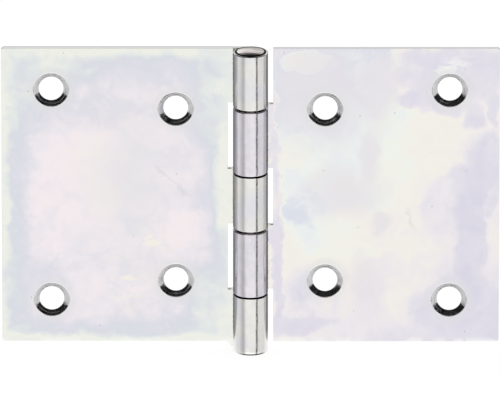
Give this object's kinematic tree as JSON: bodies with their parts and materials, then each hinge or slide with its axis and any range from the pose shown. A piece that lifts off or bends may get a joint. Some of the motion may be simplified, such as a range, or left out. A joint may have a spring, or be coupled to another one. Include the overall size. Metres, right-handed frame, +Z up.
{
  "type": "fixed pin butt hinge",
  "caption": "Wide butt hinge rolled from zinc-plated sheet steel, open flat, with countersunk screw holes; its leaves turn about a fixed peened pin.",
  "frame": {"origin": "on the pin's axis, at the middle of the pin's length", "axes": "+Z up along the pin, +X along the right leaf, +Y out of the backs of the leaves; the barrel stands out towards -Y"},
  "size_m": [0.08, 0.0056, 0.0514],
  "materials": {
    "zinc_plated_sheet": "bright zinc plating with a clear passivation",
    "zinc_plated_pin": "bright zinc plating, worn where the ends are peened"
  },
  "bodies": {
    "three_knuckle_leaf": {"three_knuckle_leaf": "zinc_plated_sheet", "hinge_pin": "zinc_plated_pin"},
    "two_knuckle_leaf": {"two_knuckle_leaf": "zinc_plated_sheet"}
  },
  "joints": [
    {"name": "leaf_turn", "type": "hinge", "parent": "three_knuckle_leaf", "child": "two_knuckle_leaf", "pos_m": [0, 0, 0], "axis": [0, 0, -1], "range_deg": [-100, 184]}
  ]
}
